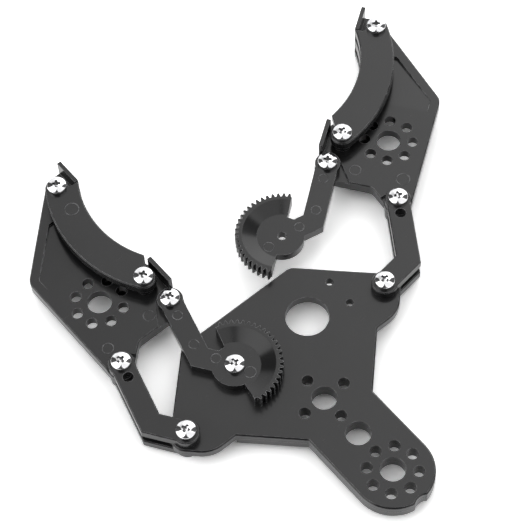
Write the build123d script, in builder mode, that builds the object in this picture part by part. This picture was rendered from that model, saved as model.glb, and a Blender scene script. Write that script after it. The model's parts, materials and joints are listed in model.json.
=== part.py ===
from build123d import *
import os
from math import cos, hypot, radians, sin, sqrt

os.makedirs("parts", exist_ok=True)

# Parallel-jaw gripper lying flat. The origin is the centre of the tail bore at
# the base plate's top face, +Y runs towards the jaws and +Z is up.

# Linkage, seen from above
ear_half_spacing = 40.6     # centre line to each follower pivot
ear_forward = 49.7          # tail bore to the follower pivots, along Y
link_length = 32.0          # pivot to pivot, followers and gear links alike
pair_across = 25.8          # follower pivot to gear link pivot, towards the centre line
pair_forward = 7.9          # the same pair, towards the jaw tips
elbow_along = 9.7           # elbow of a link, measured along its pivot line
elbow_out = 6.35            # elbow of a link, outwards from its pivot line

# Rest pose
left_link_angle = 91.0      # left links, from +X
left_jaw_turn = 0.0
right_follower_angle = 40.7
right_jaw_turn = -55.0      # right jaw, from its parallel attitude
right_arm_angle = 21.8      # right gear link, hub towards jaw pivot

# Heights
plate_thickness = 3.2       # base wing and jaw ears
tail_thickness = 5.2
bar_thickness = 3.0         # follower bars
arm_thickness = 3.1         # gear link hub and arm
rim_height = 5.0            # toothed rim of a gear link
jaw_raise = 1.0             # jaw face above its ears
standoff = 2.65             # jaw face to crescent plate
crescent_thickness = 3.0
running_gap = 0.1           # between faces that slide on each other
head_gap = 0.05             # under a head that a link turns beneath

# Screws and nuts
screw_radius = 1.5
head_radius = 3.2
head_height = 2.4
head_slope = 1.3             # bevel of the pan head's top edge
screw_tip_chamfer = 0.3
nut_across_flats = 5.5
nut_height = 2.4
nut_socket_gap = 0.1        # crescent socket round a captive nut
thread_past_nut = 0.1
bore_clearance = 0.06
thread_clearance = 0.02
bore_radius = screw_radius + bore_clearance

# Base plate outline
ear_radius = 5.2
front_edge = 75.3
wing_back_edge = 40.0
tail_half_width = 13.1
tail_shoulder = 24.1        # where the tail starts to widen
front_fillet = 4.0
wing_fillet = 9.7           # the round lobes behind the ears
waist_fillet = 0.8          # both corners between wing and tail
base_edge_chamfer = 0.45
notch_radius = 4.0
notch_back = 16.0           # tail bore to the notch centre
tail_pad_front = 44.5

# Hub patterns
hub_bore_radius = 4.0
hub_circle_diameter = 16.0
hub_hole_radius = 1.85
hub_hole_count = 8
upper_bore_count = 4
hub_step = 16.0             # from one tail bore to the next
servo_bore_radius = 7.0
servo_screw_across = 13.6   # servo bore to its two screws, along X
servo_screw_spacing = 10.0
servo_screw_radius = 1.25

# Links
follower_width = 7.6
follower_end_radius = 4.3
arm_width = 7.3
arm_end_radius = 4.2
link_edge_chamfer = 0.3
lightening_radius = 1.75
lightening_from_pivot = 5.6

# Gear links
teeth_per_turn = 50
pitch_radius = ear_half_spacing - pair_across
module = 2 * pitch_radius / teeth_per_turn
addendum = 0.85 * module
dedendum = 1.2 * module
tooth_pitch = 360 / teeth_per_turn
sector_start = 14.7         # from the arm's pivot line
sector_sweep = 180.0
tooth_root_share = 1.45     # half widths of a tooth, as shares of a quarter pitch
tooth_pitch_share = 0.96
tooth_tip_share = 0.42
gear_hub_radius = 7.3
dish_inner_radius = 8.2
dish_outer_radius = 13.0
drive_bore_radius = 1.45

# Jaw plate outline, from the jaw's follower pivot
jaw_ear_radius = 4.5
jaw_back = 4.5              # outer edge, outwards of the pivot
jaw_shoulder = 43.55        # where the outer edge turns to 45 degrees
jaw_shoulder_fillet = 5.0
jaw_tip_width = 5.35        # flat end of the jaw, beside the mating face
jaw_tip_drop = 1.95         # how far the end falls off towards the outer edge
mating_face = 29.85
jaw_heel = 3.5              # heel edge, forwards of the pivot
heel_start = 9.6
heel_drop = 1.0
heel_fillet = 3.0
jaw_edge_chamfer = 0.3
ear_recess_radius = 4.6
recess_reach = 12.0
recess_low_angle = 235.0    # extreme directions in which a link leaves its jaw ear
recess_high_angle = 312.0
jaw_hub_across = 8.64
jaw_hub_forward = 22.97
jaw_hub_turn = -9.8
jaw_rim = 2.6               # wall left round the underside recess
underside_depth = 1.0
underside_boss = 4.6
pocket_wall = 3.2           # raised rim beside the top pocket
pocket_depth = 1.0          # at its front end, running out to nothing at its back
pocket_front = 57.3
pocket_back = 37.5
pocket_inner = 20.0         # pocket's hidden side, under the crescent

# Crescents and contact flanges
grip_radius = 35.8
grip_depth = 5.7            # mating face to the middle of the grip arc
grip_forward = 42.1         # jaw pivot to the middle of the grip arc, along the jaw
crescent_width = 11.15      # radius of the back arc less that of the grip arc
back_arc_in = 0.5           # centre of the back arc from that of the grip arc
back_arc_down = 0.9
tip_screw_angle = 31.75
root_screw_angle = 32.75
crescent_end_radius = 3.95
root_edge_angle = 40.0      # where the root edge leaves the rounding at the screw
crescent_boss_radius = 3.0
crescent_chamfer = 0.35
root_corner_step = 2.0      # end of the grip arc to the crescent's root corner
tip_flange_length = 9.7
flange_thickness = 1.4
flange_gap = 0.15           # crescent corner to the tip flange
root_flange_start = 11.8
slot_side = 1.3             # slot between the tip flange and the crescent

# Levels worked out from the heights
ear_top = 0.0
ear_bottom = -plate_thickness
upper_bar_bottom = running_gap
upper_bar_top = upper_bar_bottom + bar_thickness
lower_bar_top = ear_bottom - running_gap
lower_bar_bottom = lower_bar_top - bar_thickness
arm_bottom = running_gap
arm_top = arm_bottom + arm_thickness
rim_top = arm_bottom + rim_height
jaw_top = jaw_raise
upper_crescent_bottom = jaw_top + standoff
upper_crescent_top = upper_crescent_bottom + crescent_thickness
lower_crescent_top = ear_bottom - standoff
lower_crescent_bottom = lower_crescent_top - crescent_thickness

# Arcs of the crescents, in the jaw's own frame
grip_across = mating_face - grip_depth + grip_radius
grip_half_chord = sqrt(grip_radius ** 2 - (grip_across - mating_face) ** 2)
crescent_outer_radius = grip_radius + crescent_width
crescent_screw_radius = crescent_outer_radius - crescent_end_radius
crescent_centre = (grip_across - back_arc_in, grip_forward - back_arc_down)
grip_tip_end = grip_forward + grip_half_chord
grip_root_end = grip_forward - grip_half_chord
crescent_root_cut = grip_root_end + root_corner_step
tip_flange_start = grip_tip_end + flange_gap
jaw_tip_end = tip_flange_start + tip_flange_length

CENTRED_UP = (Align.CENTER, Align.CENTER, Align.MIN)


def turned(point, angle):
    """Turn a flat point about the origin by an angle in degrees."""
    c, s = cos(radians(angle)), sin(radians(angle))
    return (c * point[0] - s * point[1], s * point[0] + c * point[1])


def moved(start, step):
    """Add a flat step to a flat point."""
    return (start[0] + step[0], start[1] + step[1])


def polar(radius, angle):
    """Flat point at a radius and an angle in degrees."""
    return (radius * cos(radians(angle)), radius * sin(radians(angle)))


def flat_plane(origin, angle, level):
    """Horizontal plane whose X runs at an angle in degrees."""
    return Plane(origin=(*origin, level), x_dir=(*polar(1, angle), 0), z_dir=(0, 0, 1))


def upright_plane(origin, angle):
    """Vertical plane through a pivot: X runs at an angle and Y is up."""
    across = polar(1, angle - 90)
    return Plane(origin=(*origin, 0), x_dir=(*polar(1, angle), 0), z_dir=(*across, 0))


def ramp_plane(origin, angle, start, drop, run, level):
    """Plane that falls by a drop over a run, beginning at a level and a start line."""
    line = moved(origin, turned((0, start), angle))
    slant = hypot(drop, run)
    lean = polar(drop / slant, angle + 90)
    return Plane(origin=(*line, level), x_dir=(*polar(1, angle), 0), z_dir=(*lean, run / slant))


def band_outline(path, half_width):
    """Corners of a band of even width along a path, with mitred bends."""
    normals = []
    for (x0, y0), (x1, y1) in zip(path, path[1:]):
        run = hypot(x1 - x0, y1 - y0)
        normals.append(((y0 - y1) / run, (x1 - x0) / run))
    steps = [normals[0]]
    for (ax, ay), (bx, by) in zip(normals, normals[1:]):
        share = 1 + ax * bx + ay * by
        steps.append(((ax + bx) / share, (ay + by) / share))
    steps.append(normals[-1])
    left = [(x + half_width * sx, y + half_width * sy) for (x, y), (sx, sy) in zip(path, steps)]
    right = [(x - half_width * sx, y - half_width * sy) for (x, y), (sx, sy) in zip(path, steps)]
    return left + right[::-1]


def link_path(hand):
    """Centre line of a link: base pivot, elbow, jaw pivot."""
    return [(0, 0), (elbow_along, hand * elbow_out), (link_length, 0)]


def nearest_vertices(vertices, points):
    """The vertex next to each of some flat points."""
    return [min(vertices, key=lambda v: hypot(v.X - x, v.Y - y)) for x, y in points]


# Pivots of both sides at rest. hand is +1 where the jaw's inside faces +X.
left_ear = (-ear_half_spacing, ear_forward)
right_ear = (ear_half_spacing, ear_forward)
left_gear_pivot = moved(left_ear, (pair_across, pair_forward))
servo_axis = moved(right_ear, (-pair_across, pair_forward))
left_jaw_pivot = moved(left_ear, polar(link_length, left_link_angle))
right_jaw_pivot = moved(right_ear, polar(link_length, right_follower_angle))
right_arm_end = moved(right_jaw_pivot, turned((-pair_across, pair_forward), right_jaw_turn))
right_hub = moved(right_arm_end, polar(-link_length, right_arm_angle))

SIDES = {
    "left": {
        "hand": 1, "ear": left_ear, "follower_angle": left_link_angle,
        "jaw_pivot": left_jaw_pivot, "jaw_turn": left_jaw_turn,
        "hub": left_gear_pivot, "arm_angle": left_link_angle,
        "hub_bore": bore_radius, "tooth_count": 24, "tooth_shift": 1.0,
    },
    "right": {
        "hand": -1, "ear": right_ear, "follower_angle": right_follower_angle,
        "jaw_pivot": right_jaw_pivot, "jaw_turn": right_jaw_turn,
        "hub": right_hub, "arm_angle": right_arm_angle,
        "hub_bore": drive_bore_radius, "tooth_count": 25, "tooth_shift": 0.5,
    },
}


def jaw_point(side, x, y):
    """Where a point of the jaw's own frame lies in the gripper at rest."""
    return moved(side["jaw_pivot"], turned((side["hand"] * x, y), side["jaw_turn"]))


def crescent_screw_places():
    """Tip and root screw of a crescent, in the jaw's own frame."""
    tip = moved(crescent_centre, polar(crescent_screw_radius, 180 - tip_screw_angle))
    root = moved(crescent_centre, polar(crescent_screw_radius, 180 + root_screw_angle))
    return {"tip": tip, "root": root}


def grip_edge_across(y):
    """X of the grip arc at a given Y."""
    return grip_across - sqrt(grip_radius ** 2 - (y - grip_forward) ** 2)


# Base plate: a wing with two ears, and a thicker tail that carries the hub patterns
ear_up = moved(right_ear, polar(ear_radius, 45))
ear_down = moved(right_ear, polar(ear_radius, -45))
front_corner = (ear_up[0] + ear_up[1] - front_edge, front_edge)
wing_corner = (ear_down[0] - ear_down[1] + wing_back_edge, wing_back_edge)
wing_root = (tail_half_width + wing_back_edge - tail_shoulder, wing_back_edge)
waist_corner = (tail_half_width, tail_shoulder)
tail_bores = [(0, 0), (0, hub_step), (0, 2 * hub_step)]


def both_sides(point):
    """A point and its mirror image about the centre line."""
    return [point, (-point[0], point[1])]


with BuildPart() as base_plate:
    with BuildSketch(Plane.XY.offset(ear_bottom)):
        with BuildLine():
            Polyline(
                (0, front_edge), front_corner, ear_up, right_ear, ear_down,
                wing_corner, wing_root, waist_corner, (tail_half_width, 0), (0, 0), close=True,
            )
        make_face()
        mirror(about=Plane.YZ)
        with Locations(left_ear, right_ear):
            Circle(ear_radius)
        Circle(tail_half_width)
        with Locations((0, -notch_back)):
            Circle(notch_radius, mode=Mode.SUBTRACT)
        rounded = [
            (front_corner, front_fillet), (wing_corner, wing_fillet),
            (wing_root, waist_fillet), (waist_corner, waist_fillet),
        ]
        for corner, size in rounded:
            found = nearest_vertices(vertices(), both_sides(corner))
            fillet(found, size)
    extrude(amount=plate_thickness)
    chamfer(base_plate.faces().sort_by(Axis.Z)[-1].outer_wire().edges(), base_edge_chamfer)
    # Tail pad under the wing
    with BuildSketch(Plane.XY.offset(ear_bottom)):
        with BuildLine():
            Polyline(
                (0, tail_pad_front), (wing_root[0] + wing_back_edge - tail_pad_front, tail_pad_front),
                wing_root, waist_corner, (tail_half_width, 0), (0, 0), close=True,
            )
        make_face()
        mirror(about=Plane.YZ)
        Circle(tail_half_width)
        with Locations((0, -notch_back)):
            Circle(notch_radius, mode=Mode.SUBTRACT)
    extrude(amount=plate_thickness - tail_thickness)
    # Hub bores down the tail
    with Locations(*[(x, y, ear_top) for x, y in tail_bores]):
        Hole(hub_bore_radius)
    with Locations((0, 0, ear_top)):
        with PolarLocations(hub_circle_diameter / 2, hub_hole_count):
            Hole(hub_hole_radius)
    with Locations((*tail_bores[2], ear_top)):
        with PolarLocations(hub_circle_diameter / 2, upper_bore_count):
            Hole(hub_hole_radius)
    # Servo seat on the right and link pivots
    with Locations((*servo_axis, ear_top)):
        Hole(servo_bore_radius)
        with Locations((servo_screw_across, 0)):
            with GridLocations(0, servo_screw_spacing, 1, 2):
                Hole(servo_screw_radius)
    with Locations(*[(x, y, ear_top) for x, y in (left_ear, right_ear, left_gear_pivot)]):
        Hole(bore_radius)
base_plate.part.label = "base_plate"
export_step(base_plate.part, "parts/base_plate.step")


def make_follower_bar(side, bottom):
    """One flat dog-leg bar of a follower, drilled at both pivots."""
    path = link_path(side["hand"])
    leg = (elbow_along - link_length, side["hand"] * elbow_out)
    share = lightening_from_pivot / hypot(*leg)
    light_hole = moved(path[2], (share * leg[0], share * leg[1]))
    with BuildPart() as bar:
        with BuildSketch(flat_plane(side["ear"], side["follower_angle"], bottom)):
            with BuildLine():
                Polyline(*band_outline(path, follower_width / 2), close=True)
            make_face()
            with Locations(path[0], path[2]):
                Circle(follower_end_radius)
        extrude(amount=bar_thickness)
        chamfer(bar.faces().sort_by(Axis.Z)[-1].outer_wire().edges(), link_edge_chamfer)
        with BuildSketch(flat_plane(side["ear"], side["follower_angle"], bottom)):
            with Locations(path[0], path[2]):
                Circle(bore_radius)
            with Locations(light_hole):
                Circle(lightening_radius)
        extrude(amount=bar_thickness, mode=Mode.SUBTRACT)
    return bar.part


def tooth_outline(hand, count, shift):
    """Outline of the toothed sector, from its first end to its last."""
    root, tip = pitch_radius - dedendum, pitch_radius + addendum
    quarter = tooth_pitch / 4
    rising = [(root, -tooth_root_share), (pitch_radius, -tooth_pitch_share), (tip, -tooth_tip_share)]
    falling = [(radius, -share) for radius, share in reversed(rising)]
    points = [(0, 0), polar(root, -hand * sector_start)]
    for tooth in range(count):
        middle = sector_start + (shift + tooth) * tooth_pitch
        for radius, share in rising + falling:
            points.append(polar(radius, -hand * (middle + share * quarter)))
    points.append(polar(root, -hand * (sector_start + sector_sweep)))
    return points


def make_gear_link(side):
    """Toothed half disc with a dished face, a flat hub and a dog-leg arm."""
    hand = side["hand"]
    path = link_path(hand)
    level = flat_plane(side["hub"], side["arm_angle"], arm_bottom)
    teeth = tooth_outline(hand, side["tooth_count"], side["tooth_shift"])
    with BuildPart() as gear:
        with BuildSketch(level):
            with BuildLine():
                Polyline(*teeth, close=True)
            make_face()
        extrude(amount=rim_height)
        with BuildSketch(upright_plane(side["hub"], side["arm_angle"])):
            with BuildLine():
                Polyline(
                    (0, arm_top), (dish_inner_radius, arm_top), (dish_outer_radius, rim_top),
                    (dish_outer_radius, rim_top + rim_height), (0, rim_top + rim_height), close=True,
                )
            make_face()
        revolve(axis=Axis((*side["hub"], 0), (0, 0, 1)), mode=Mode.SUBTRACT)
        with BuildSketch(level):
            Circle(gear_hub_radius)
            with BuildLine():
                Polyline(*band_outline(path, arm_width / 2), close=True)
            make_face()
            with Locations(path[2]):
                Circle(arm_end_radius)
        extrude(amount=arm_thickness)
        with BuildSketch(level):
            Circle(side["hub_bore"])
            with Locations(path[2]):
                Circle(bore_radius)
        extrude(amount=rim_height, mode=Mode.SUBTRACT)
    return gear.part


def jaw_outline_points(hand):
    """Straight part of a jaw's outline, from the grip arc's root end to its tip end."""
    slope_end = jaw_tip_end - jaw_tip_drop
    points = [
        (mating_face, grip_root_end), (mating_face, pair_forward),
        (pair_across, jaw_heel), (heel_start, jaw_heel), (jaw_ear_radius, -heel_drop),
        (0, 0), (-jaw_back, 0), (-jaw_back, jaw_shoulder),
        (slope_end - jaw_shoulder - jaw_back, slope_end), (mating_face - jaw_tip_width, jaw_tip_end),
        (mating_face, jaw_tip_end), (mating_face, grip_tip_end),
    ]
    return [(hand * x, y) for x, y in points]


def pocket_points():
    """Corners of a jaw's top pocket, in the jaw's own frame."""
    rise = jaw_shoulder + jaw_back - pocket_wall * sqrt(2)
    outer = pocket_wall - jaw_back
    return [
        (pocket_inner, pocket_back), (outer, pocket_back), (outer, outer + rise),
        (pocket_front - rise, pocket_front), (pocket_inner, pocket_front),
    ]


def make_jaw_plate(side):
    """Jaw with recessed ears, hub pattern, top pocket and two contact flanges."""
    hand = side["hand"]
    arm_pivot = (hand * pair_across, pair_forward)
    hub = (hand * jaw_hub_across, jaw_hub_forward)
    screws = [(hand * x, y) for x, y in crescent_screw_places().values()]
    outline = jaw_outline_points(hand)
    grip_middle = (hand * (mating_face - grip_depth), grip_forward)
    rounded = [((-jaw_back, jaw_shoulder), jaw_shoulder_fillet), ((heel_start, jaw_heel), heel_fillet)]
    bottom = flat_plane(side["jaw_pivot"], side["jaw_turn"], ear_bottom)
    top = flat_plane(side["jaw_pivot"], side["jaw_turn"], jaw_top)
    with BuildPart() as jaw:
        with BuildSketch(bottom):
            with BuildLine():
                Polyline(*outline)
                ThreePointArc(outline[-1], grip_middle, outline[0])
            make_face()
            Circle(jaw_ear_radius)
            with Locations(arm_pivot):
                Circle(pair_forward - jaw_heel)
            for (x, y), size in rounded:
                fillet(nearest_vertices(vertices(), [(hand * x, y)]), size)
        extrude(amount=jaw_top - ear_bottom)
        chamfer(jaw.faces().sort_by(Axis.Z)[-1].outer_wire().edges(), jaw_edge_chamfer)
        # Top pocket, which leaves a rim along the outer edge
        pocket_run = pocket_front - pocket_back
        pivot, turn = side["jaw_pivot"], side["jaw_turn"]
        with BuildSketch(ramp_plane(pivot, turn, pocket_back, pocket_depth, pocket_run, jaw_top)):
            with BuildLine():
                Polyline(*[(hand * x, y - pocket_back) for x, y in pocket_points()], close=True)
            make_face()
        extrude(amount=jaw_top - ear_bottom, dir=(0, 0, 1), mode=Mode.SUBTRACT)
        # Underside recess with a boss left round each screw
        with BuildSketch(bottom):
            with BuildLine():
                Polyline(*outline)
                ThreePointArc(outline[-1], grip_middle, outline[0])
            make_face()
            offset(amount=-jaw_rim)
            with Locations((0, 0), arm_pivot, *screws):
                Circle(underside_boss, mode=Mode.SUBTRACT)
        extrude(amount=underside_depth, mode=Mode.SUBTRACT)
        # Recesses that let the links turn on the ears
        with BuildSketch(top):
            for pivot in ((0, 0), arm_pivot):
                with Locations(pivot):
                    Circle(ear_recess_radius)
                for angle in (recess_low_angle, recess_high_angle):
                    aim = moved(pivot, polar(recess_reach, angle if hand > 0 else 180 - angle))
                    with BuildLine():
                        Polyline(*band_outline([pivot, aim], ear_recess_radius), close=True)
                    make_face()
        extrude(amount=-jaw_raise, mode=Mode.SUBTRACT)
        # Contact flanges along the mating face
        flange_middle = hand * (mating_face - flange_thickness / 2)
        spans = [(root_flange_start, grip_root_end), (tip_flange_start, jaw_tip_end)]
        lowest = flat_plane(side["jaw_pivot"], side["jaw_turn"], lower_crescent_bottom)
        with BuildSketch(lowest):
            for start, end in spans:
                with Locations((flange_middle, (start + end) / 2)):
                    Rectangle(flange_thickness, end - start)
        extrude(amount=upper_crescent_top - lower_crescent_bottom)
        # Hub pattern and screw bores
        first_hole = hand * jaw_hub_turn
        with BuildSketch(lowest):
            with Locations(hub):
                Circle(hub_bore_radius)
                with PolarLocations(hub_circle_diameter / 2, hub_hole_count, start_angle=first_hole):
                    Circle(hub_hole_radius)
            with Locations((0, 0), arm_pivot, *screws):
                Circle(bore_radius)
        extrude(amount=upper_crescent_top - lower_crescent_bottom, mode=Mode.SUBTRACT)
    return jaw.part


def make_crescent(side, upper):
    """Curved finger plate with two stand-off bosses that rest on the jaw."""
    hand = side["hand"]
    screws = crescent_screw_places()
    tip, root = screws["tip"], screws["root"]
    root_corner = (grip_edge_across(crescent_root_cut), crescent_root_cut)
    slot_corner = mating_face - flange_thickness - slot_side
    walk = [
        root_corner, moved(root, polar(crescent_end_radius, root_edge_angle)), root,
        moved(crescent_centre, polar(crescent_outer_radius, 180 + root_screw_angle)),
    ]
    back = [
        moved(crescent_centre, polar(crescent_outer_radius, 180 - tip_screw_angle)), tip,
        (slot_corner, grip_tip_end), (mating_face, grip_tip_end),
    ]
    walk = [(hand * x, y) for x, y in walk]
    back = [(hand * x, y) for x, y in back]
    outer_middle = (hand * (crescent_centre[0] - crescent_outer_radius), crescent_centre[1])
    inner_middle = (hand * (mating_face - grip_depth), grip_forward)
    places = [(hand * x, y) for x, y in (tip, root)]
    face = upper_crescent_bottom if upper else lower_crescent_top
    growth = 1 if upper else -1
    seat = jaw_top if upper else ear_bottom
    plane = flat_plane(side["jaw_pivot"], side["jaw_turn"], face)
    with BuildPart() as crescent:
        with BuildSketch(plane):
            with BuildLine():
                Polyline(*walk)
                ThreePointArc(walk[-1], outer_middle, back[0])
                Polyline(*back)
                ThreePointArc(back[-1], inner_middle, walk[0])
            make_face()
            with Locations(*places):
                Circle(crescent_end_radius)
        extrude(amount=growth * crescent_thickness)
        outside = crescent.faces().sort_by(Axis.Z)[-1 if upper else 0]
        chamfer(outside.outer_wire().edges(), crescent_chamfer)
        with BuildSketch(plane):
            with Locations(*places):
                Circle(crescent_boss_radius)
        extrude(amount=seat - face)
        with BuildSketch(plane):
            with Locations(*places):
                Circle(bore_radius)
        extrude(amount=growth * crescent_thickness, both=True, mode=Mode.SUBTRACT)
        if not upper:
            socket = flat_plane(side["jaw_pivot"], side["jaw_turn"], lower_crescent_bottom)
            with BuildSketch(socket):
                with Locations(*places):
                    RegularPolygon(nut_across_flats / 2 + nut_socket_gap, 6, major_radius=False)
            extrude(amount=nut_height + thread_past_nut, mode=Mode.SUBTRACT)
    return crescent.part


def make_screw(place, seat, tip):
    """Pan-head machine screw, head seat and tip given as levels."""
    with BuildPart() as screw:
        with Locations((*place, seat)):
            Cylinder(head_radius, head_height, align=CENTRED_UP)
        chamfer(screw.edges().sort_by(Axis.Z)[-1], head_slope)
        with Locations((*place, tip)):
            Cylinder(screw_radius, seat - tip, align=CENTRED_UP)
        chamfer(screw.edges().sort_by(Axis.Z)[0], screw_tip_chamfer)
    return screw.part


def make_nut(place, top, angle):
    """Plain hexagon nut hanging below a level."""
    with BuildPart() as nut:
        with BuildSketch(flat_plane(place, angle, top - nut_height)):
            RegularPolygon(nut_across_flats / 2, 6, major_radius=False)
            Circle(screw_radius + thread_clearance, mode=Mode.SUBTRACT)
        extrude(amount=nut_height)
    return nut.part


def keep(part, name):
    """Label a finished piece and write it."""
    part.label = name
    export_step(part, f"parts/{name}.step")


# Left gear link's pivot on the base plate
arm_screw_tip = ear_bottom - nut_height - thread_past_nut
keep(make_screw(left_gear_pivot, arm_top + head_gap, arm_screw_tip), "gear_pivot_screw")
keep(make_nut(left_gear_pivot, ear_bottom, 0), "gear_pivot_nut")

follower_screw_tip = lower_bar_bottom - nut_height - thread_past_nut
crescent_screw_tip = lower_crescent_bottom + thread_past_nut
crescent_nut_top = crescent_screw_tip + nut_height

for name, side in SIDES.items():
    keep(make_gear_link(side), f"{name}_gear_link")
    keep(make_follower_bar(side, upper_bar_bottom), f"{name}_follower_upper_bar")
    keep(make_follower_bar(side, lower_bar_bottom), f"{name}_follower_lower_bar")
    for end, place in (("base", side["ear"]), ("jaw", side["jaw_pivot"])):
        keep(make_screw(place, upper_bar_top, follower_screw_tip), f"{name}_follower_{end}_screw")
        keep(make_nut(place, lower_bar_bottom, side["follower_angle"]), f"{name}_follower_{end}_nut")
    keep(make_jaw_plate(side), f"{name}_jaw_plate")
    keep(make_crescent(side, True), f"{name}_upper_crescent")
    keep(make_crescent(side, False), f"{name}_lower_crescent")
    arm_place = jaw_point(side, pair_across, pair_forward)
    keep(make_screw(arm_place, arm_top + head_gap, arm_screw_tip), f"{name}_gear_arm_screw")
    keep(make_nut(arm_place, ear_bottom, side["jaw_turn"]), f"{name}_gear_arm_nut")
    for end, (x, y) in crescent_screw_places().items():
        place = jaw_point(side, x, y)
        screw = make_screw(place, upper_crescent_top, crescent_screw_tip)
        keep(screw, f"{name}_crescent_{end}_screw")
        keep(make_nut(place, crescent_nut_top, side["jaw_turn"]), f"{name}_crescent_{end}_nut")
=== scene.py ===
import json
import math

import bmesh
import bpy
from mathutils import Matrix, Quaternion, Vector

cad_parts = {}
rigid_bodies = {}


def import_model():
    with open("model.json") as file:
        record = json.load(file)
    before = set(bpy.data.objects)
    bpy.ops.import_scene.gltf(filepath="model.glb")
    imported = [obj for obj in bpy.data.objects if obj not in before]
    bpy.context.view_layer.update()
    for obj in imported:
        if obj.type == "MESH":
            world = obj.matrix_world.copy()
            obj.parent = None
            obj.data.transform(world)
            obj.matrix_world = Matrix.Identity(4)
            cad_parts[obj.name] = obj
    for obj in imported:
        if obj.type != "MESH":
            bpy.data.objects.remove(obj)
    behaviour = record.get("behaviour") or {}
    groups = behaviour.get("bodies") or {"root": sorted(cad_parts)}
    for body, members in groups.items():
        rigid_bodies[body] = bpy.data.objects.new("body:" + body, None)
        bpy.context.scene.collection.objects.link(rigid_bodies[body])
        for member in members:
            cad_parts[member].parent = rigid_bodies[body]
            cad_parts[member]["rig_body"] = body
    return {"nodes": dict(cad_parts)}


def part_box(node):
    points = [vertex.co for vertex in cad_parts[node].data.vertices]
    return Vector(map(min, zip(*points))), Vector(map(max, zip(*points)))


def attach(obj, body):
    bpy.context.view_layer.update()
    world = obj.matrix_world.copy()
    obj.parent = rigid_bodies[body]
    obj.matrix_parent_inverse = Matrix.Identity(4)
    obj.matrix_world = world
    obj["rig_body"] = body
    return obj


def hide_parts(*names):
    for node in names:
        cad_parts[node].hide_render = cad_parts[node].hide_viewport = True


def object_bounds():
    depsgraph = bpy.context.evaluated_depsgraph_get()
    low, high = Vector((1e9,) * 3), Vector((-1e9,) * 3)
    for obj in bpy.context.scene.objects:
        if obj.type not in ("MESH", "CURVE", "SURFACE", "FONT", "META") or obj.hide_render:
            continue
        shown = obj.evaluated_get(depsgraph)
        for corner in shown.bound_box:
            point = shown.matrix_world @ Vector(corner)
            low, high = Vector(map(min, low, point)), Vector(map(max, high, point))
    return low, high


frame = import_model()
cad_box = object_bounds()

# Lengths are in metres. The gripper lies flat: +Z is up and +Y runs towards the jaws.
MM = 0.001
FLOOR_LEVEL = cad_box[0].z

# Camera, from the photograph's viewing angle
VIEW_PLACE = Vector((-179.2, -183.6, 551.0)) * MM
VIEW_TARGET = Vector((16.77, 83.06, 0.0)) * MM
VIEW_ROLL = math.radians(-3.92)
SENSOR = 36.0
FOCAL_LENGTH = 136.88
NEAR_CLIP = 0.01
FAR_CLIP = 20.0

# Moulded plastic. A noise is its scale, per metre, and its detail. A band is a low and a high level of it.
FLOW_NOISE = (55.0, 3.0)
FLOW_BAND = (0.3, 0.7)
FLOW_SHADE = 0.12               # how far the flow marks move the shade, as a share of it
FLOW_GLOSS = (-0.04, 0.05)      # what they add to the roughness
SCUFF_NOISE = (240.0, 4.0)
SCUFF_STRETCH = (1.0, 6.0, 1.0)
SCUFF_BAND = (0.66, 0.78)
SCUFF_SHADE = 0.012
# Painted highlight along the edges: the base colour is lightened where the rounded normal turns away from
# the flat one, broken up by a noise
HIGHLIGHT_BREAKUP_NOISE = (420.0, 3.0)
HIGHLIGHT_BREAKUP_BAND = (0.35, 0.6)
HIGHLIGHT_SHADES = (0.06, 0.30)      # painted highlight, added to the shade at the very edge
EDGE_RADIUS = 0.28 * MM
EDGE_SAMPLES = 6
EDGE_HIGHLIGHT_BAND = (0.995, 0.86)       # cosine between rounded and flat normal, where the painted highlight starts and is full
GRAIN_NOISE = (5200.0, 2.0)
GRAIN_HEIGHT = 0.3
PARTING_RIDGE = (0.03 * MM, 0.2 * MM)   # half width of its top and of its foot
PARTING_HEIGHT = 7.0
PLASTIC_SPECULAR = 0.5
PLASTIC_BLUE = 1.03
PLASTIC_BUMP = 0.22
PLASTIC_BUMP_DEPTH = 0.03 * MM

# Plated steel
SMEAR_NOISE = (900.0, 3.0)
SMEAR_GLOSS_BAND = (0.35, 0.7)
SMEAR_GLOSS = (0.6, 1.6)        # factors on the roughness
SMEAR_SHADE_BAND = (0.3, 0.75)
SMEAR_SHADES = (0.96, 1.03)     # factors on the shade
TURNING_NOISE = (9000.0, 2.0)
METAL_BLUE = 1.015
METAL_BUMP = 0.05
METAL_BUMP_DEPTH = 0.01 * MM

# Screws: pan heads with a cross recess, on threaded shanks
HEAD_RADIUS = 3.2 * MM
HEAD_HEIGHT = 2.4 * MM
CROWN_EDGE = math.radians(31.0)     # slope of the crown where it meets the rounded rim
RIM_RADIUS = 0.35 * MM
SIDE_DRAW = 0.4 * MM            # how much smaller the head is at its seat than at its rim
CROWN_RADIUS = (HEAD_RADIUS - RIM_RADIUS) / math.sin(CROWN_EDGE) + RIM_RADIUS
CROWN_MIDDLE = HEAD_HEIGHT - CROWN_RADIUS
HEAD_AROUND = 72
SIDE_STEPS = 6
RIM_STEPS = 8
CROWN_STEPS = 12
RECESS_REACH = 1.4 * MM
RECESS_POINT = 0.2 * MM         # depth of the blunt point below the last section
# Sections of the recess: reach, half width and inner corner as shares of its reach, and level
# as a share of the head's height
RECESS_SECTIONS = [
    (1.06, 0.33, 0.57, 1.17),
    (1.0, 0.31, 0.53, 0.92),
    (0.82, 0.27, 0.44, 0.55),
    (0.42, 0.24, 0.33, 0.36),
]
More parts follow.
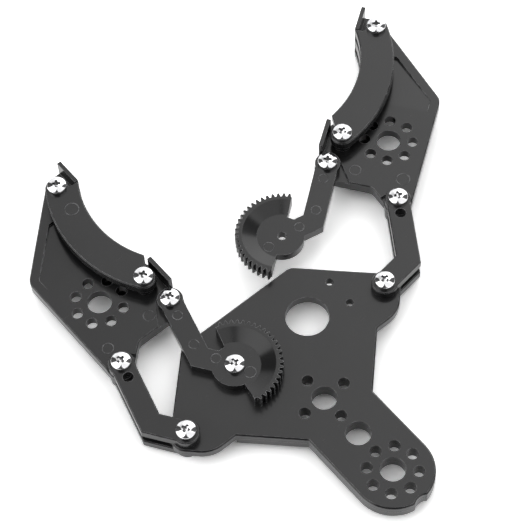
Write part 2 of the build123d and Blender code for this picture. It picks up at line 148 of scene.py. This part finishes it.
# Recess walls, which get painted shade, are the steep faces within this share of the reach, above the seat
# and below the crown
WALL_REACH = 1.05 * RECESS_REACH
WALL_FOOT = 0.3 * MM
WALL_TOP_GAP = 0.03 * MM
STEEP_NORMAL = 0.6              # upward share of a wall's normal, below which the wall gets painted shade
SHANK_RADIUS = 1.5 * MM
SHANK_AROUND = 20
THREAD_PITCH = 0.5 * MM
THREAD_DEPTH = 0.16 * MM
ROWS_PER_PITCH = 8
LEAST_ROWS = 4
TIP_LENGTH = 0.5 * MM
TIP_START = 0.15                # share of the rounding that is left at the very tip
TIP_SHARE = 0.82                # of the shank's radius, to which the rounding draws in

# Hexagon nuts
NUT_AROUND = 72
NUT_HALF_FLATS = 2.75 * MM
NUT_BORE_RADIUS = 1.52 * MM
NUT_CHAMFER_START = 0.97 * NUT_HALF_FLATS
NUT_CHAMFER_SLOPE = math.tan(math.radians(30))
NUT_MOUTH_RADIUS = NUT_BORE_RADIUS + 0.18 * MM
NUT_MOUTH_DEPTH = 0.2 * MM

# Angles below which neighbouring faces are shaded as one, in degrees
SMOOTH_BELOW = 35.0
SMOOTH_THREAD_BELOW = 50.0
SMOOTH_NUT_BELOW = 25.0

# Angle of each cross recess from +X in degrees, as the screws happen to stand in the photograph
RECESS_TURNS = {
    "gear_pivot_screw": -8,
    "left_follower_base_screw": 22,
    "left_follower_jaw_screw": 8,
    "left_gear_arm_screw": 37,
    "left_crescent_root_screw": 39,
    "left_crescent_tip_screw": 55,
    "right_follower_base_screw": 8,
    "right_follower_jaw_screw": 66,
    "right_gear_arm_screw": 44,
    "right_crescent_root_screw": 16,
    "right_crescent_tip_screw": 50,
}

# Angle of each nut that isn't square to the frame, in degrees: nuts stand as the piece that holds them
LEFT_BAR_TURN = 91.0
RIGHT_BAR_TURN = 40.7
RIGHT_JAW_TURN = -55.0
NUT_TURNS = {
    "left_follower_base_nut": LEFT_BAR_TURN,
    "left_follower_jaw_nut": LEFT_BAR_TURN,
    "right_follower_base_nut": RIGHT_BAR_TURN,
    "right_follower_jaw_nut": RIGHT_BAR_TURN,
    "right_gear_arm_nut": RIGHT_JAW_TURN,
    "right_crescent_tip_nut": RIGHT_JAW_TURN,
    "right_crescent_root_nut": RIGHT_JAW_TURN,
}

# Round marks of the ejector pins: plastic, then centre and radius in millimetres, on a piece's upper face
MARK_AROUND = 48
MARK_WIDTH = 0.3 * MM
MARK_HEIGHT = 0.035 * MM
MARK_ROOT = 0.02 * MM           # how far a mark goes into the face
EJECTOR_MARKS = {
    "left_gear_link": ("gear", [
        (-17.2, 83.4, 1.6), (-19.8, 71.9, 1.6), (-17.7, 63.4, 1.6), (-12.7, 52.7, 1.9),
    ]),
    "right_gear_link": ("gear", [
        (20.9, 84.0, 1.7), (33.3, 83.3, 1.6), (41.6, 84.7, 1.6), (51.5, 92.5, 1.6),
    ]),
    "left_upper_crescent": ("crescent", [(-19.7, 135.5, 2.3)]),
    "left_jaw_plate": ("jaw", [(-23.5, 90.3, 1.9), (-40.7, 89.5, 1.8)]),
    "right_jaw_plate": ("jaw", [(62.5, 89.2, 1.9), (72.1, 76.1, 2.2)]),
}

# Stage: a white floor that keeps the shadow, under three wide panels of light
FLOOR_SIZE = 6.0
FLOOR_COLOUR = 0.86
FLOOR_SEEN_COLOUR = 1.8         # to the camera, so that the open floor is white and keeps the near shadows
FLOOR_MIRRORED_COLOUR = 1.5
PANEL_LEVEL = 1.0
# Azimuth and elevation of the middle, inner and outer radius in degrees, and gain
BRIGHT_SPOTS = [(22, 38, 15, 48, 0.95), (160, 38, 20, 55, 0.8), (80, 52, 5, 30, -0.4)]
# Azimuth, rate of widening and widest half width in degrees, and elevation of the upper end
PANEL_GAPS = [(347, 33, 17, 62), (109, 34, 16, 57), (224, 66, 34, 84)]
GAP_LEVEL = 0.06
GAP_SOFTNESS = 0.04


# Node helpers
def node_material(name, sockets):
    """New node material, with these values on its principled shader's sockets."""
    material = bpy.data.materials.new(name)
    material.use_nodes = True
    shader = material.node_tree.nodes["Principled BSDF"]
    for socket, value in sockets.items():
        shader.inputs[socket].default_value = value
    return material, material.node_tree, shader


def add_node(tree, kind, **inputs):
    """Add a node and set or link its inputs, by socket name or as i0, i1 and so on by number."""
    node = tree.nodes.new(kind)
    for key, value in inputs.items():
        numbered = key[0] == "i" and key[1:].isdigit()
        socket = node.inputs[int(key[1:])] if numbered else node.inputs[key]
        if isinstance(value, bpy.types.NodeSocket):
            tree.links.new(value, socket)
        else:
            socket.default_value = value
    return node


def math_node(tree, operation, first, second=0.0, third=0.0):
    """Output of a Math node with up to three inputs."""
    node = add_node(tree, "ShaderNodeMath", i0=first, i1=second, i2=third)
    node.operation = operation
    return node.outputs[0]


def dot_product(tree, first, second):
    """Dot product of two vectors, each a socket or a fixed value."""
    node = add_node(tree, "ShaderNodeVectorMath", i0=first, i1=second)
    node.operation = "DOT_PRODUCT"
    return node.outputs["Value"]


def ramp_between(tree, value, band, levels):
    """Smooth step of a value across a band, from the first level to the second."""
    node = add_node(tree, "ShaderNodeMapRange", Value=value)
    node.interpolation_type = "SMOOTHSTEP"
    node.inputs["From Min"].default_value = band[0]
    node.inputs["From Max"].default_value = band[1]
    node.inputs["To Min"].default_value = levels[0]
    node.inputs["To Max"].default_value = levels[1]
    return node.outputs["Result"]


def noise(tree, place, scale, detail, stretch=(1, 1, 1)):
    """Noise over the object's own coordinates, stretched along its axes."""
    mapping = add_node(tree, "ShaderNodeMapping", Vector=place, Scale=stretch)
    node = add_node(tree, "ShaderNodeTexNoise", Vector=mapping.outputs[0], Scale=scale, Detail=detail)
    return node.outputs[0]


def near_grey(tree, shade, blue):
    """Colour of one shade, with its blue a little stronger."""
    stronger = math_node(tree, "MULTIPLY", shade, blue)
    return add_node(tree, "ShaderNodeCombineColor", Red=shade, Green=shade, Blue=stronger).outputs[0]


def add_bump(tree, shader, strength, depth, **inputs):
    """Raise a shader's surface by a height."""
    bump = add_node(tree, "ShaderNodeBump", Strength=strength, Distance=depth, **inputs)
    tree.links.new(bump.outputs[0], shader.inputs["Normal"])


# Materials
def painted_edge_highlight(tree, place, rounded):
    """Painted highlight: shade added to the base colour along the edges, broken up by a noise."""
    geometry = add_node(tree, "ShaderNodeNewGeometry")
    same_way = dot_product(tree, rounded, geometry.outputs["Normal"])
    near_edge = ramp_between(tree, same_way, EDGE_HIGHLIGHT_BAND, (0.0, 1.0))
    highlight = ramp_between(tree, noise(tree, place, *HIGHLIGHT_BREAKUP_NOISE), HIGHLIGHT_BREAKUP_BAND, HIGHLIGHT_SHADES)
    return math_node(tree, "MULTIPLY", near_edge, highlight)


def parting_ridge(tree, place, parting_level):
    """Height of the mould's parting line round a piece."""
    level = add_node(tree, "ShaderNodeSeparateXYZ", Vector=place).outputs["Z"]
    from_line = math_node(tree, "ABSOLUTE", math_node(tree, "SUBTRACT", level, parting_level))
    return ramp_between(tree, from_line, PARTING_RIDGE, (PARTING_HEIGHT, 0.0))


def moulded_plastic(name, level, roughness, parting_level=None):
    """Black satin plastic: fine grain, flow marks, scuffs, a painted highlight along the edges and an
    optional parting line.
    """
    material, tree, shader = node_material(name, {"Specular IOR Level": PLASTIC_SPECULAR})
    place = add_node(tree, "ShaderNodeTexCoord").outputs["Object"]
    flow = noise(tree, place, *FLOW_NOISE)
    scuffs = noise(tree, place, *SCUFF_NOISE, SCUFF_STRETCH)
    grain = noise(tree, place, *GRAIN_NOISE)
    edge = add_node(tree, "ShaderNodeBevel", Radius=EDGE_RADIUS)
    edge.samples = EDGE_SAMPLES
    rounded = edge.outputs[0]

    shades = ((1 - FLOW_SHADE) * level, (1 + FLOW_SHADE) * level)
    shade = ramp_between(tree, flow, FLOW_BAND, shades)
    scuffed = ramp_between(tree, scuffs, SCUFF_BAND, (0.0, SCUFF_SHADE))
    shade = math_node(tree, "ADD", shade, scuffed)
    # Painted highlight: the edges are lightened in the base colour
    shade = math_node(tree, "ADD", shade, painted_edge_highlight(tree, place, rounded))
    tree.links.new(near_grey(tree, shade, PLASTIC_BLUE), shader.inputs["Base Color"])
    rough = ramp_between(tree, flow, FLOW_BAND, [roughness + change for change in FLOW_GLOSS])
    tree.links.new(rough, shader.inputs["Roughness"])

    height = math_node(tree, "MULTIPLY", grain, GRAIN_HEIGHT)
    if parting_level is not None:
        height = math_node(tree, "ADD", height, parting_ridge(tree, place, parting_level))
    add_bump(tree, shader, PLASTIC_BUMP, PLASTIC_BUMP_DEPTH, Height=height, Normal=rounded)
    return material


def plated_metal(name, level, roughness):
    """Bright plating with faint turning marks and small smears in its gloss."""
    material, tree, shader = node_material(name, {"Metallic": 1.0})
    place = add_node(tree, "ShaderNodeTexCoord").outputs["Object"]
    smear = noise(tree, place, *SMEAR_NOISE)
    rough = ramp_between(tree, smear, SMEAR_GLOSS_BAND, [roughness * factor for factor in SMEAR_GLOSS])
    tree.links.new(rough, shader.inputs["Roughness"])
    shades = [min(level * factor, 1.0) for factor in SMEAR_SHADES]
    shade = ramp_between(tree, smear, SMEAR_SHADE_BAND, shades)
    tree.links.new(near_grey(tree, shade, METAL_BLUE), shader.inputs["Base Color"])
    add_bump(tree, shader, METAL_BUMP, METAL_BUMP_DEPTH, Height=noise(tree, place, *TURNING_NOISE))
    return material


# Each with its name, shade and roughness, and the level of a parting line if it has one
plastic_of = {
    "base": moulded_plastic("base_plastic", 0.012, 0.22, parting_level=-2.3 * MM),
    "jaw": moulded_plastic("jaw_plastic", 0.011, 0.18, parting_level=-2.0 * MM),
    "crescent": moulded_plastic("crescent_plastic", 0.012, 0.20),
    "gear": moulded_plastic("gear_plastic", 0.012, 0.17),
    "link": moulded_plastic("link_plastic", 0.012, 0.22),
}
chrome = plated_metal("screw_chrome", 0.92, 0.05)
# Painted shade: the steep walls of the cross recesses get this dark, rough plating
recess_painted_shade = plated_metal("recess_painted_shade", 0.12, 0.35)
nut_steel = plated_metal("nut_steel", 0.78, 0.20)


# Mesh helpers
def ring_points(radius, level, count):
    """Points of a level circle."""
    angles = [2 * math.pi * step / count for step in range(count)]
    return [Vector((radius * math.cos(angle), radius * math.sin(angle), level)) for angle in angles]


def add_ring(mesh, points):
    """Add a ring of vertices to a bmesh."""
    return [mesh.verts.new(point) for point in points]


def bridge(mesh, lower, upper):
    """Join two rings of the same count with quads."""
    count = len(lower)
    for step in range(count):
        after = (step + 1) % count
        mesh.faces.new((lower[step], lower[after], upper[after], upper[step]))


def cap(mesh, ring, level, upwards):
    """Close a ring with a fan to its axis."""
    middle = mesh.verts.new((0, 0, level))
    count = len(ring)
    for step in range(count):
        after = (step + 1) % count
        corner = (ring[step], ring[after]) if upwards else (ring[after], ring[step])
        mesh.faces.new((corner[0], corner[1], middle))


def smooth_data(mesh, name, smooth_below=SMOOTH_BELOW):
    """Turn a bmesh into mesh data with smooth faces and sharp corners."""
    data = bpy.data.meshes.new(name)
    mesh.to_mesh(data)
    mesh.free()
    data.shade_smooth()
    data.set_sharp_from_angle(angle=math.radians(smooth_below))
    return data


def finish_mesh(mesh, name, smooth_below=SMOOTH_BELOW):
    """Turn a bmesh's faces outwards and make mesh data of it."""
    bmesh.ops.recalc_face_normals(mesh, faces=mesh.faces)
    return smooth_data(mesh, name, smooth_below)


def new_object(name, data, *materials):
    """Link an object with its materials to the scene."""
    piece = bpy.data.objects.new(name, data)
    bpy.context.scene.collection.objects.link(piece)
    for material in materials:
        data.materials.append(material)
    return piece


# Meshes of the fasteners
def crown_level(reach):
    """Height of the head's crown at a distance from its axis."""
    return CROWN_MIDDLE + math.sqrt(CROWN_RADIUS ** 2 - reach ** 2)


def head_outline():
    """Radius and height pairs of a pan head: drawn-in side, rounded rim, then a shallow crown."""
    rim_level = CROWN_MIDDLE + (CROWN_RADIUS - RIM_RADIUS) * math.cos(CROWN_EDGE)
    pairs = []
    for step in range(SIDE_STEPS):
        turn = math.pi / 2 * step / SIDE_STEPS
        radius = HEAD_RADIUS - SIDE_DRAW * (1 - math.sin(turn))
        pairs.append((radius, rim_level * (1 - math.cos(turn))))
    for step in range(RIM_STEPS + 1):
        turn = (math.pi / 2 - CROWN_EDGE) * step / RIM_STEPS
        radius = HEAD_RADIUS - RIM_RADIUS + RIM_RADIUS * math.cos(turn)
        pairs.append((radius, rim_level + RIM_RADIUS * math.sin(turn)))
    for step in range(1, CROWN_STEPS):
        radius = CROWN_RADIUS * math.sin(CROWN_EDGE * (1 - step / CROWN_STEPS))
        pairs.append((radius, crown_level(radius)))
    return pairs


def cross_points(reach, half_width, inner, level):
    """Outline of a cross with cut inner corners."""
    quarter = [(reach, half_width), (inner, half_width), (half_width, inner), (half_width, reach)]
    points = []
    for turn in range(4):
        spin = Matrix.Rotation(math.pi / 2 * turn, 3, "Z")
        points += [spin @ Vector((x, y, level)) for x, y in quarter]
    return points


def recess_mesh():
    """Tapered cross punch: wide wings at the crown that draw in towards a blunt point."""
    mesh = bmesh.new()
    rings = []
    for *shares, level in RECESS_SECTIONS:
        reach, half_width, inner = (share * RECESS_REACH for share in shares)
        rings.append(add_ring(mesh, cross_points(reach, half_width, inner, level * HEAD_HEIGHT)))
    for upper, lower in zip(rings, rings[1:]):
        bridge(mesh, lower, upper)
    cap(mesh, rings[0], RECESS_SECTIONS[0][-1] * HEAD_HEIGHT, True)
    cap(mesh, rings[-1], RECESS_SECTIONS[-1][-1] * HEAD_HEIGHT - RECESS_POINT, False)
    return finish_mesh(mesh, "recess_cutter")


def is_recess_wall(face):
    """Whether a face of the cut head is a steep wall of its recess."""
    reach = math.hypot(face.center.x, face.center.y)
    if reach >= WALL_REACH or face.normal.z >= STEEP_NORMAL:
        return False
    return WALL_FOOT < face.center.z < crown_level(reach) - WALL_TOP_GAP


def head_mesh():
    """Solid pan head with a cross recess cut into its crown."""
    mesh = bmesh.new()
    rings = [add_ring(mesh, ring_points(*pair, HEAD_AROUND)) for pair in head_outline()]
    for lower, upper in zip(rings, rings[1:]):
        bridge(mesh, lower, upper)
    cap(mesh, rings[-1], HEAD_HEIGHT, True)
    cap(mesh, rings[0], 0.0, False)
    head = new_object("head_blank", finish_mesh(mesh, "head_blank"))
    cutter = new_object("recess_cutter", recess_mesh())
    cut = head.modifiers.new("recess", "BOOLEAN")
    cut.operation = "DIFFERENCE"
    cut.solver = "EXACT"
    cut.object = cutter
    graph = bpy.context.evaluated_depsgraph_get()
    data = bpy.data.meshes.new_from_object(head.evaluated_get(graph))
    # Painted shade: the steep recess walls take the second, dark material
    for face in data.polygons:
        face.material_index = 1 if is_recess_wall(face) else 0
    bpy.data.objects.remove(head)
    bpy.data.objects.remove(cutter)
    return data


def shank_mesh(name, length):
    """Threaded shank below the head's seat, with a rounded tip."""
    mesh = bmesh.new()
    rows = max(LEAST_ROWS, int(length / THREAD_PITCH * ROWS_PER_PITCH))
    rings = []
    for row in range(rows + 1):
        depth = length * row / rows
        fullness = min(1.0, (length - depth) / TIP_LENGTH + TIP_START)
        points = []
        for step in range(SHANK_AROUND):
            angle = 2 * math.pi * step / SHANK_AROUND
            phase = (depth / THREAD_PITCH - step / SHANK_AROUND) % 1.0
            groove = THREAD_DEPTH * abs(2 * phase - 1)
            radius = (SHANK_RADIUS - groove) * (TIP_SHARE + (1 - TIP_SHARE) * fullness)
            points.append(Vector((radius * math.cos(angle), radius * math.sin(angle), -depth)))
        rings.append(add_ring(mesh, points))
    for upper, lower in zip(rings, rings[1:]):
        bridge(mesh, lower, upper)
    cap(mesh, rings[0], 0.0, True)
    cap(mesh, rings[-1], -length, False)
    return finish_mesh(mesh, name, SMOOTH_THREAD_BELOW)


def hexagon(level, reach, chamfer):
    """Outline of a nut within a reach, with its corners lowered (1), raised (-1) or left level (0)."""
    points = []
    for step in range(NUT_AROUND):
        angle = 2 * math.pi * step / NUT_AROUND
        within = (angle + math.pi / 6) % (math.pi / 3) - math.pi / 6
        radius = min(NUT_HALF_FLATS / math.cos(within), reach)
        drop = chamfer * NUT_CHAMFER_SLOPE * max(0.0, radius - NUT_CHAMFER_START)
        points.append(Vector((radius * math.cos(angle), radius * math.sin(angle), level - drop)))
    return points


def nut_mesh(height):
    """Hexagon nut with chamfered corners and a countersunk bore."""
    whole = 2 * NUT_HALF_FLATS
    rows = [
        ring_points(NUT_BORE_RADIUS, NUT_MOUTH_DEPTH, NUT_AROUND),
        ring_points(NUT_MOUTH_RADIUS, 0.0, NUT_AROUND),
        hexagon(0.0, NUT_CHAMFER_START, 0),
        hexagon(0.0, whole, -1),
        hexagon(height, whole, 1),
        hexagon(height, NUT_CHAMFER_START, 0),
        ring_points(NUT_MOUTH_RADIUS, height, NUT_AROUND),
        ring_points(NUT_BORE_RADIUS, height - NUT_MOUTH_DEPTH, NUT_AROUND),
    ]
    mesh = bmesh.new()
    rings = [add_ring(mesh, row) for row in rows]
    for lower, upper in zip(rings, rings[1:] + rings[:1]):
        bridge(mesh, lower, upper)
    return finish_mesh(mesh, "nut", SMOOTH_NUT_BELOW)


# Dressing of the CAD nodes
def body_of_node(node_name):
    """Name of the body that carries a CAD node."""
    return frame["nodes"][node_name]["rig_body"]


def family_of(node_name):
    """Which plastic a CAD node is made of."""
    if "gear_link" in node_name:
        return "gear"
    if "bar" in node_name:
        return "link"
    if "crescent" in node_name:
        return "crescent"
    if "jaw_plate" in node_name:
        return "jaw"
    return "base"


def paint_plastic():
    """Give every moulded CAD node its plastic."""
    for node_name, node in frame["nodes"].items():
        if not node_name.endswith(("screw", "nut")):
            node.data.materials.clear()
            node.data.materials.append(plastic_of[family_of(node_name)])


def dress_screw(node_name, turn, head):
    """Replace a plain CAD screw with a headed, threaded one."""
    low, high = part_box(node_name)
    seat = high.z - HEAD_HEIGHT
    shank = shank_mesh(node_name + "_shank", seat - low.z)
    mesh = bmesh.new()
    mesh.from_mesh(head)
    mesh.from_mesh(shank)
    bpy.data.meshes.remove(shank)
    data = smooth_data(mesh, node_name + "_body")
    piece = new_object(node_name + "_dressed", data, chrome, recess_painted_shade)
    middle = (low + high) / 2
    piece.location = (middle.x, middle.y, seat)
    piece.rotation_euler = (0, 0, math.radians(turn))
    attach(piece, body_of_node(node_name))
    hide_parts(node_name)


def dress_nut(node_name, turn):
    """Replace a plain CAD nut with a chamfered one."""
    low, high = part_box(node_name)
    piece = new_object(node_name + "_dressed", nut_mesh(high.z - low.z), nut_steel)
    middle = (low + high) / 2
    piece.location = (middle.x, middle.y, low.z)
    piece.rotation_euler = (0, 0, math.radians(turn))
    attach(piece, body_of_node(node_name))
    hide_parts(node_name)


def dress_fasteners():
    """Replace all the screws and nuts."""
    head = head_mesh()
    for node_name, turn in RECESS_TURNS.items():
        dress_screw(node_name, turn, head)
    for node_name in list(frame["nodes"]):
        if node_name.endswith("nut"):
            dress_nut(node_name, NUT_TURNS.get(node_name, 0.0))


def level_face(node_name, x, y):
    """Height of a node's upper face at a place."""
    node = frame["nodes"][node_name]
    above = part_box(node_name)[1].z + MM
    hit, place, _, _ = node.ray_cast(Vector((x, y, above)), Vector((0, 0, -1)))
    if not hit:
        raise ValueError(node_name + " has no face under its pin mark")
    return place.z


def add_mark(mesh, middle, radius, level):
    """Add one low ring with a ridge, closed below."""
    half = MARK_WIDTH / 2
    section = [(-half, -MARK_ROOT), (-half, 0.0), (0.0, MARK_HEIGHT), (half, 0.0), (half, -MARK_ROOT)]
    rings = []
    for inwards, rise in section:
        points = ring_points(radius - inwards, level + rise, MARK_AROUND)
        rings.append(add_ring(mesh, [point + middle for point in points]))
    for outer, inner in zip(rings, rings[1:] + rings[:1]):
        bridge(mesh, outer, inner)


def add_marks(node_name, family, places):
    """Raise the pin marks on the upper face of a moulded piece."""
    mesh = bmesh.new()
    for x, y, radius in places:
        level = level_face(node_name, x * MM, y * MM)
        add_mark(mesh, Vector((x, y, 0)) * MM, radius * MM, level)
    data = finish_mesh(mesh, node_name + "_pin_marks")
    piece = new_object(node_name + "_pin_marks", data, plastic_of[family])
    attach(piece, body_of_node(node_name))


paint_plastic()
dress_fasteners()
for node_name, (family, places) in EJECTOR_MARKS.items():
    add_marks(node_name, family, places)


# Stage
def make_floor():
    """Wide pale floor under the gripper."""
    bpy.ops.mesh.primitive_plane_add(size=FLOOR_SIZE, location=(0, 0, FLOOR_LEVEL))
    floor = bpy.context.object
    floor.name = "floor"
    material = bpy.data.materials.new("floor_white")
    material.use_nodes = True
    tree = material.node_tree
    tree.nodes.remove(tree.nodes["Principled BSDF"])
    path = add_node(tree, "ShaderNodeLightPath").outputs
    mirrored = math_node(tree, "MAXIMUM", path["Is Glossy Ray"], path["Is Transmission Ray"])
    more_mirrored = FLOOR_MIRRORED_COLOUR - FLOOR_COLOUR
    more_seen = FLOOR_SEEN_COLOUR - FLOOR_COLOUR
    level = math_node(tree, "MULTIPLY_ADD", mirrored, more_mirrored, FLOOR_COLOUR)
    level = math_node(tree, "MULTIPLY_ADD", path["Is Camera Ray"], more_seen, level)
    paint = add_node(tree, "ShaderNodeBsdfDiffuse", Color=level)
    tree.links.new(paint.outputs[0], tree.nodes["Material Output"].inputs["Surface"])
    floor.data.materials.append(material)


def aim_at(azimuth, elevation):
    """Unit vector towards a place in the sky, both in degrees."""
    turn = math.radians(azimuth)
    rise = math.radians(elevation)
    return Vector((math.cos(turn) * math.cos(rise), math.sin(turn) * math.cos(rise), math.sin(rise)))


def panel_light(tree, direction):
    """Light of the panels, with their brighter and dimmer places."""
    glow = PANEL_LEVEL
    for azimuth, elevation, inner, outer, gain in BRIGHT_SPOTS:
        nearness = dot_product(tree, direction, aim_at(azimuth, elevation))
        band = (math.cos(math.radians(outer)), math.cos(math.radians(inner)))
        glow = math_node(tree, "ADD", glow, ramp_between(tree, nearness, band, (0.0, gain)))
    return glow


def gap_shade(tree, direction, azimuth, widening, half_width, top_elevation):
    """Share of the light that one gap leaves: a wedge that widens downwards from its upper end."""
    rise = dot_product(tree, direction, (0, 0, 1))
    level_share = math_node(tree, "SUBTRACT", 1.0, math_node(tree, "MULTIPLY", rise, rise))
    level_reach = math_node(tree, "SQRT", level_share)
    along = dot_product(tree, direction, aim_at(azimuth, 0.0))
    off = math_node(tree, "ARCCOSINE", math_node(tree, "DIVIDE", along, level_reach))
    top = math.sin(math.radians(top_elevation))
    depth = math_node(tree, "SUBTRACT", 1.0, math_node(tree, "DIVIDE", rise, top))
    depth = math_node(tree, "MAXIMUM", depth, 0.0)
    reach = math_node(tree, "MULTIPLY", math_node(tree, "SQRT", depth), math.radians(widening))
    reach = math_node(tree, "MINIMUM", reach, math.radians(half_width))
    inside = math_node(tree, "SUBTRACT", reach, off)
    return ramp_between(tree, inside, (-GAP_SOFTNESS, GAP_SOFTNESS), (1.0, GAP_LEVEL))


def make_world():
    """Pale studio of three wide panels, with dark gaps between them. The camera sees it white."""
    world = bpy.data.worlds.new("studio")
    bpy.context.scene.world = world
    world.use_nodes = True
    tree = world.node_tree
    background = tree.nodes["Background"]
    direction = add_node(tree, "ShaderNodeTexCoord").outputs["Generated"]
    glow = panel_light(tree, direction)
    for gap in PANEL_GAPS:
        glow = math_node(tree, "MULTIPLY", glow, gap_shade(tree, direction, *gap))
    path = add_node(tree, "ShaderNodeLightPath")
    seen = add_node(tree, "ShaderNodeMapRange", Value=path.outputs["Is Camera Ray"])
    tree.links.new(glow, seen.inputs["To Min"])
    seen.inputs["To Max"].default_value = 1.0
    tree.links.new(seen.outputs[0], background.inputs["Strength"])
    background.inputs["Color"].default_value = (1, 1, 1, 1)


def make_camera():
    """Camera at the photograph's viewing angle."""
    data = bpy.data.cameras.new("camera")
    data.sensor_width = SENSOR
    data.lens = FOCAL_LENGTH
    data.clip_start = NEAR_CLIP
    data.clip_end = FAR_CLIP
    camera = new_object("camera", data)
    camera.location = VIEW_PLACE
    camera.rotation_mode = "QUATERNION"
    look = (VIEW_TARGET - VIEW_PLACE).to_track_quat("-Z", "Y")
    camera.rotation_quaternion = look @ Quaternion((0, 0, 1), VIEW_ROLL)
    bpy.context.scene.camera = camera


make_floor()
make_world()
make_camera()
bpy.context.scene.view_settings.view_transform = "Standard"
